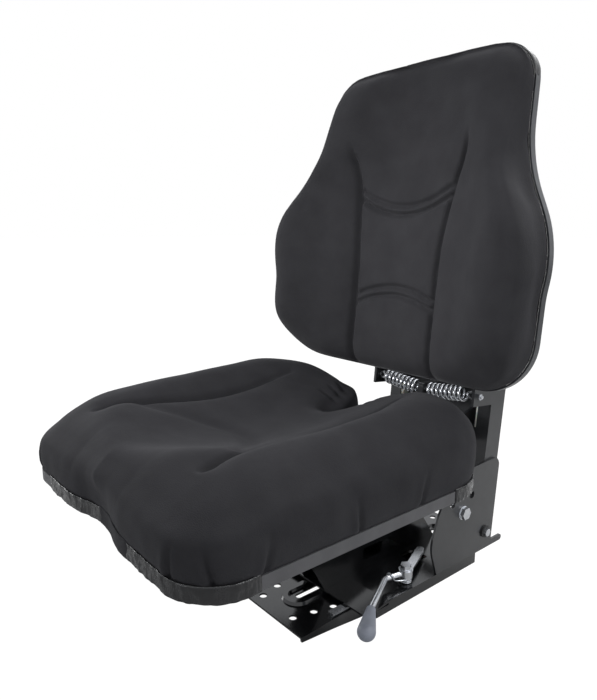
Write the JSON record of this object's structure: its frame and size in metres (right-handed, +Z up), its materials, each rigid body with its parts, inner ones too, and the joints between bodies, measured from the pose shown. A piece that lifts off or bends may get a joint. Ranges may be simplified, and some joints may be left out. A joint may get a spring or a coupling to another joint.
{
  "type": "tractor seat",
  "caption": "Sprung tractor driver's seat: padded pan and backrest on a spring carriage between leaning posts, over a lever-latched slide and bolt-down base.",
  "frame": {"origin": "on the mounting surface, under the centre of the base plate's bolt pattern", "axes": "+Z up, -Y the way the driver faces, +X the driver's left"},
  "size_m": [0.5054, 0.734, 0.8662],
  "materials": {
    "black_paint": "black satin stove enamel",
    "zinc": "bright zinc plate",
    "spring_steel": "drawn spring wire",
    "fabric": "close knitted charcoal upholstery",
    "edge_trim": "grey plastic edging with black film",
    "shell": "grained black shell",
    "band": "grey satin edging",
    "nylon": "natural nylon",
    "rubber": "moulded rubber",
    "knob": "grey moulded plastic"
  },
  "bodies": {
    "base": {"base_plate": "black_paint", "guide_rail_left": "zinc", "guide_rail_right": "zinc"},
    "slide": {"slide_tray": "black_paint", "slide_glides": "nylon", "centre_tunnel": "black_paint", "side_plate_left": "black_paint", "side_plate_right": "black_paint", "post_left": "black_paint", "post_right": "black_paint", "post_cross_tie": "black_paint", "post_head_bar": "black_paint", "bump_stops": "rubber", "top_buffers": "rubber", "tilt_bolts": "zinc", "tilt_washers": "zinc", "tilt_nuts": "zinc", "foot_bushes": "rubber", "foot_bolts": "zinc", "foot_nuts": "zinc", "spring_bracket_left": "black_paint", "spring_bracket_right": "black_paint", "eye_bolts": "zinc", "eye_nuts": "zinc", "suspension_spring_left": "spring_steel", "suspension_spring_right": "spring_steel", "lever_pivot_bolt": "zinc", "lever_washer": "zinc", "lever_nut": "zinc", "lever_spacer": "zinc", "lever_return_spring": "spring_steel"},
    "lever": {"slide_lever": "zinc", "lever_knob": "knob"},
    "seat": {"carriage_plate": "black_paint", "post_glides": "nylon", "back_standoffs": "black_paint", "spring_anchor": "black_paint", "pan_arm_left": "black_paint", "pan_arm_right": "black_paint", "seat_pan": "black_paint", "seat_edge_trim": "edge_trim", "seat_cushion": "fabric", "pan_bolts": "zinc", "backrest_pan": "shell", "backrest_edge_trim": "band", "backrest_cushion": "fabric", "back_bolts": "zinc"}
  },
  "joints": [
    {"name": "fore_aft", "type": "slide", "parent": "base", "child": "slide", "axis": [0, 1, 0], "range_m": [-0.065, 0.065]},
    {"name": "suspension", "type": "slide", "parent": "slide", "child": "seat", "axis": [0, 0.1028, 0.9947], "range_m": [-0.08, 0], "stiffness_N_per_m": 5500, "springref_m": 0.05, "deforming": ["suspension_spring_left", "suspension_spring_right"]},
    {"name": "slide_lever_swing", "type": "hinge", "parent": "slide", "child": "lever", "pos_m": [0.098, -0.028, 0.048], "axis": [0, 0, 1], "range_deg": [0, 18], "stiffness_Nm_per_rad": 4, "springref_deg": -14.32, "deforming": ["lever_return_spring"]}
  ]
}
